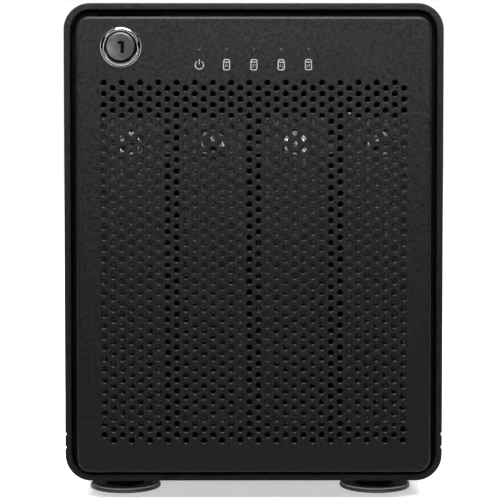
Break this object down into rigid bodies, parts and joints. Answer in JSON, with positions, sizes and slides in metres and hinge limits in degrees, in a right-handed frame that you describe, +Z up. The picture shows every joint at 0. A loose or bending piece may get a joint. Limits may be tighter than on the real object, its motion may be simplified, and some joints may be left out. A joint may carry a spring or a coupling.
{
  "type": "network storage enclosure",
  "caption": "Upright desktop drive enclosure with a rounded metal sleeve, perforated lift-off door with key lock, drive trays behind it, round feet",
  "frame": {"origin": "on the table surface under the centre of the bounding box", "axes": "+Z up, -Y is the front with the door, +X is right seen from the front"},
  "size_m": [0.135, 0.2456, 0.177],
  "materials": {
    "dark_paint": "satin powder coat",
    "black_plastic": "moulded black",
    "foot_plastic": "satin grey",
    "foot_rubber": "matt",
    "zinc_steel": "zinc plated sheet",
    "screw_steel": "plated",
    "bright_chrome": "bright plated",
    "tray_paint": "satin powder coat",
    "drive_aluminium": "cast",
    "heatsink_aluminium": "anodised",
    "board_laminate": "solder mask",
    "component_plastic": "moulded",
    "plated_shell": "tin plated",
    "contact_brass": "plated",
    "wire_jacket": "sleeved",
    "clear_lens": "clear"
  },
  "bodies": {
    "case": {"outer_sleeve": "dark_paint", "foot_discs": "foot_plastic", "foot_pads": "foot_rubber", "foot_screws": "screw_steel", "front_frame": "black_plastic", "door_sockets": "black_plastic", "lock_strike": "zinc_steel", "indicator_board": "board_laminate", "cage_plates": "zinc_steel", "cage_walls": "zinc_steel", "screw_rail": "zinc_steel", "clinch_nuts": "screw_steel", "guide_rails": "black_plastic", "backplane_board": "board_laminate", "drive_sockets": "black_plastic", "rear_panel": "zinc_steel", "rear_screws": "screw_steel", "fan_frame": "black_plastic", "fan_screws": "screw_steel", "main_board": "board_laminate", "board_chips": "component_plastic", "heatsink": "heatsink_aluminium", "network_jacks": "plated_shell", "usb_jacks": "plated_shell", "button_housing": "black_plastic", "ac_inlet": "black_plastic", "inlet_blades": "contact_brass", "switch_frame": "black_plastic", "psu_board": "board_laminate", "psu_components": "component_plastic", "psu_cover": "zinc_steel", "wiring_harness": "wire_jacket"},
    "door": {"door_panel": "dark_paint", "door_backing": "black_plastic", "door_studs": "screw_steel", "light_pipes": "clear_lens", "lock_barrel": "bright_chrome", "lock_nut": "screw_steel"},
    "lock": {"lock_plug": "bright_chrome", "lock_cam": "zinc_steel", "cam_screw": "screw_steel"},
    "fan_rotor": {"fan_rotor": "black_plastic"},
    "switch_rocker": {"switch_rocker": "black_plastic"},
    "reset_button": {"reset_button": "black_plastic"},
    "tray_1": {"tray_1": "tray_paint", "drive_1": "drive_aluminium", "drive_screws_1": "screw_steel"},
    "thumbscrew_1": {"thumbscrew_1": "bright_chrome"},
    "tray_2": {"tray_2": "tray_paint", "drive_2": "drive_aluminium", "drive_screws_2": "screw_steel"},
    "thumbscrew_2": {"thumbscrew_2": "bright_chrome"},
    "tray_3": {"tray_3": "tray_paint", "drive_3": "drive_aluminium", "drive_screws_3": "screw_steel"},
    "thumbscrew_3": {"thumbscrew_3": "bright_chrome"},
    "tray_4": {"tray_4": "tray_paint", "drive_4": "drive_aluminium", "drive_screws_4": "screw_steel"},
    "thumbscrew_4": {"thumbscrew_4": "bright_chrome"}
  },
  "joints": [
    {"name": "door_pull", "type": "slide", "parent": "case", "child": "door", "axis": [0, -1, 0], "range_m": [0, 0.32]},
    {"name": "lock_turn", "type": "hinge", "parent": "door", "child": "lock", "pos_m": [-0.04665, -0.115, 0.16105], "axis": [0, 1, 0], "range_deg": [0, 90]},
    {"name": "fan_spin", "type": "hinge", "parent": "case", "child": "fan_rotor", "pos_m": [-0.016, 0.105, 0.071], "axis": [0, 1, 0], "continuous": true},
    {"name": "rocker_tilt", "type": "hinge", "parent": "case", "child": "switch_rocker", "pos_m": [0.016, 0.114, 0.15], "axis": [1, 0, 0], "range_deg": [-16, 0]},
    {"name": "reset_press", "type": "slide", "parent": "case", "child": "reset_button", "axis": [0, -1, 0], "range_m": [0, 0.0005], "stiffness_N_per_m": 400},
    {"name": "tray_1_slide", "type": "slide", "parent": "case", "child": "tray_1", "axis": [0, -1, 0], "range_m": [0, 0.16]},
    {"name": "thumbscrew_1_turn", "type": "hinge", "parent": "tray_1", "child": "thumbscrew_1", "pos_m": [-0.045, -0.111, 0.1275], "axis": [0, 1, 0], "continuous": true},
    {"name": "tray_2_slide", "type": "slide", "parent": "case", "child": "tray_2", "axis": [0, -1, 0], "range_m": [0, 0.16]},
    {"name": "thumbscrew_2_turn", "type": "hinge", "parent": "tray_2", "child": "thumbscrew_2", "pos_m": [-0.015, -0.111, 0.1275], "axis": [0, 1, 0], "continuous": true},
    {"name": "tray_3_slide", "type": "slide", "parent": "case", "child": "tray_3", "axis": [0, -1, 0], "range_m": [0, 0.16]},
    {"name": "thumbscrew_3_turn", "type": "hinge", "parent": "tray_3", "child": "thumbscrew_3", "pos_m": [0.015, -0.111, 0.1275], "axis": [0, 1, 0], "continuous": true},
    {"name": "tray_4_slide", "type": "slide", "parent": "case", "child": "tray_4", "axis": [0, -1, 0], "range_m": [0, 0.16]},
    {"name": "thumbscrew_4_turn", "type": "hinge", "parent": "tray_4", "child": "thumbscrew_4", "pos_m": [0.045, -0.111, 0.1275], "axis": [0, 1, 0], "continuous": true}
  ],
  "couplings": [
    {"joint": "tray_1_slide", "follows": "door_pull", "ratio": 0.5},
    {"joint": "tray_2_slide", "follows": "door_pull", "ratio": 0.5},
    {"joint": "tray_3_slide", "follows": "door_pull", "ratio": 0.5},
    {"joint": "tray_4_slide", "follows": "door_pull", "ratio": 0.5}
  ]
}
